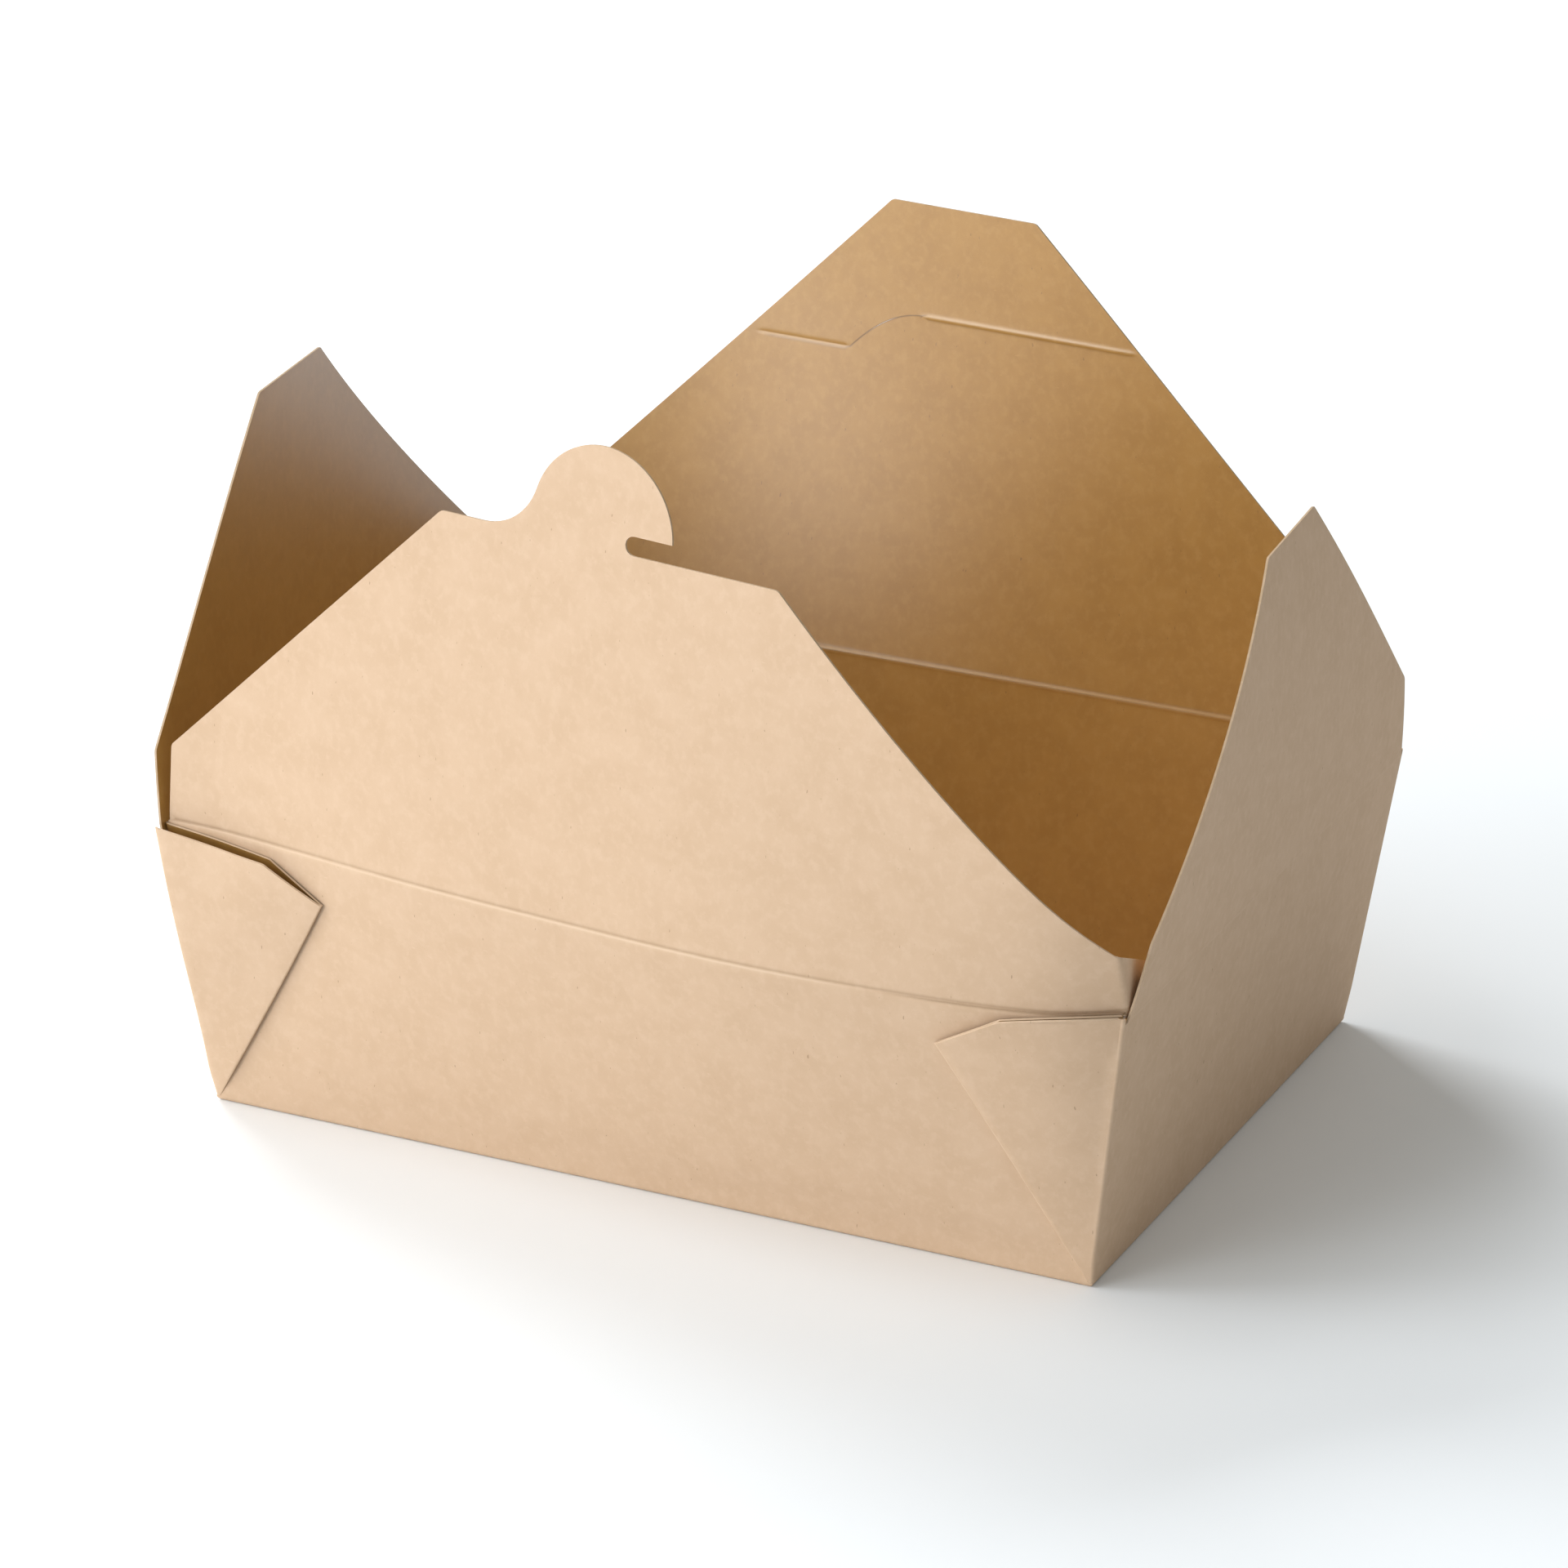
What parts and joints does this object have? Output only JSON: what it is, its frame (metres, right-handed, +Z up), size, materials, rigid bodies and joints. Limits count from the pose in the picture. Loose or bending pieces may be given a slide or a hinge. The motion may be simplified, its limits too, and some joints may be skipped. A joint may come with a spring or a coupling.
{
  "type": "takeaway box",
  "caption": "Folded kraft board takeaway box: a flared tray with webbed corners, standing open, with closing flaps, a locking hook and its slit.",
  "frame": {"origin": "centre of the bottom, on its underside", "axes": "+X along the length, -Y towards the front flap with the hook, +Z up out of the open top"},
  "size_m": [0.232, 0.1807, 0.1636],
  "materials": {
    "kraft_board": "matt natural brown kraft paperboard, uncoated outside, with a thin satin lining inside"
  },
  "bodies": {
    "root": {"box_body": "kraft_board"},
    "front_flap": {"front_flap": "kraft_board"},
    "back_flap": {"back_flap": "kraft_board"},
    "left_flap": {"left_flap": "kraft_board"},
    "right_flap": {"right_flap": "kraft_board"}
  },
  "joints": [
    {"name": "front_flap_fold", "type": "hinge", "parent": "root", "child": "front_flap", "pos_m": [0, -0.07513, 0.0631], "axis": [-1, 0, 0], "range_deg": [0, 84]},
    {"name": "back_flap_fold", "type": "hinge", "parent": "root", "child": "back_flap", "pos_m": [0, 0.07573, 0.0625], "axis": [1, 0, 0], "range_deg": [-70, 92]},
    {"name": "left_flap_fold", "type": "hinge", "parent": "root", "child": "left_flap", "pos_m": [-0.10637, 0, 0.061], "axis": [0, 1, 0], "range_deg": [-70, 105]},
    {"name": "right_flap_fold", "type": "hinge", "parent": "root", "child": "right_flap", "pos_m": [0.10637, 0, 0.061], "axis": [0, -1, 0], "range_deg": [-70, 94]}
  ]
}
